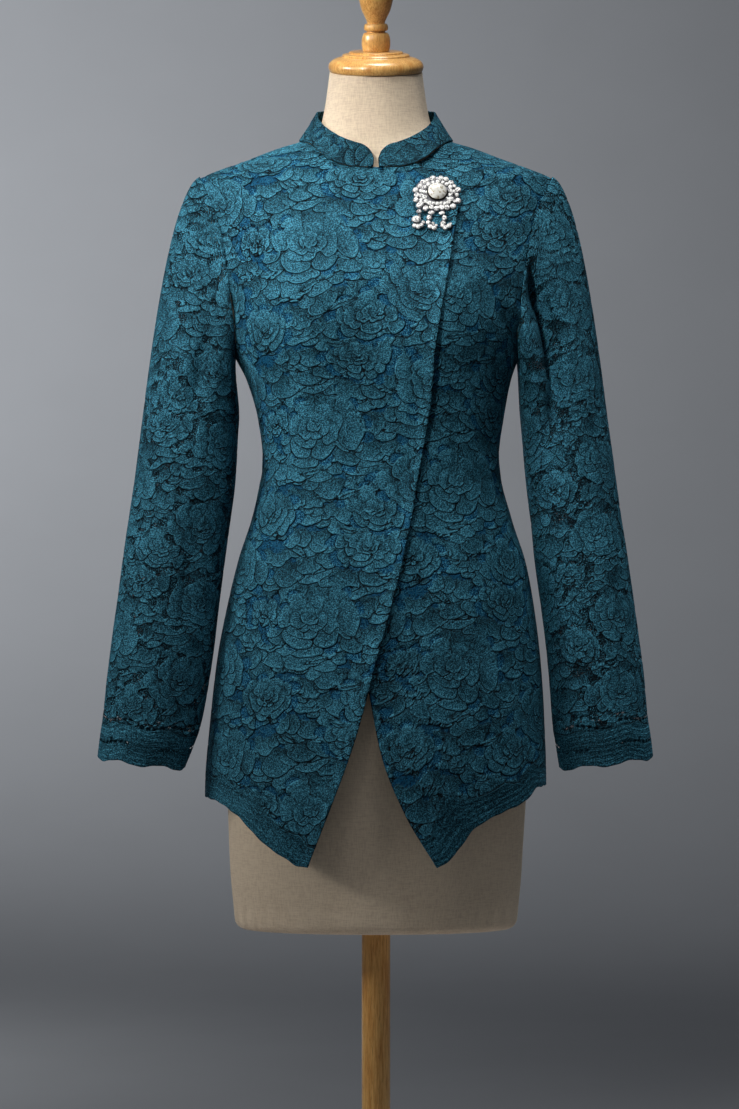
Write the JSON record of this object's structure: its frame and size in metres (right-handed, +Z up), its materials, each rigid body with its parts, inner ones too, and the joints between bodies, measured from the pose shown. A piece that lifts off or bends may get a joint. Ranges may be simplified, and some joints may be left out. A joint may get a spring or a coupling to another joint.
{
  "type": "lace kebaya blouse on a dress form",
  "caption": "Long-sleeved lace kebaya blouse with a stand collar and crossed, pointed fronts closed by a brooch, worn by a limbless dress form on a pole stand.",
  "frame": {"origin": "centre of the underside of the stand's base, on the floor", "axes": "+Z up, -Y to the front of the blouse, +X to the wearer's left"},
  "size_m": [0.5779, 0.34, 1.5809],
  "materials": {
    "lace": "corded lace over a plain lining",
    "linen": "natural linen",
    "oak": "varnished",
    "silver": "polished, set with clear stones"
  },
  "bodies": {
    "dressed_form": {"front_right_outer": "lace", "front_left_under": "lace", "back": "lace", "sleeve_left": "lace", "sleeve_right": "lace", "collar": "lace", "dress_form": "linen", "neck_cap": "oak", "finial": "oak", "stand_pole": "oak", "stand_base": "oak", "brooch": "silver"},
    "right_drop": {"brooch_drop_right": "silver"},
    "middle_drop": {"brooch_drop_middle": "silver"},
    "left_drop": {"brooch_drop_left": "silver"}
  },
  "joints": [
    {"name": "right_drop_swing", "type": "hinge", "parent": "dressed_form", "child": "right_drop", "pos_m": [0.04435, -0.08454, 1.32072], "axis": [-0.9966, -0.0823, 0], "range_deg": [0, 70]},
    {"name": "middle_drop_swing", "type": "hinge", "parent": "dressed_form", "child": "middle_drop", "pos_m": [0.05687, -0.08423, 1.31918], "axis": [-0.9966, -0.0823, 0], "range_deg": [0, 70]},
    {"name": "left_drop_swing", "type": "hinge", "parent": "dressed_form", "child": "left_drop", "pos_m": [0.06835, -0.08345, 1.31882], "axis": [-0.9966, -0.0823, 0], "range_deg": [0, 70]}
  ]
}
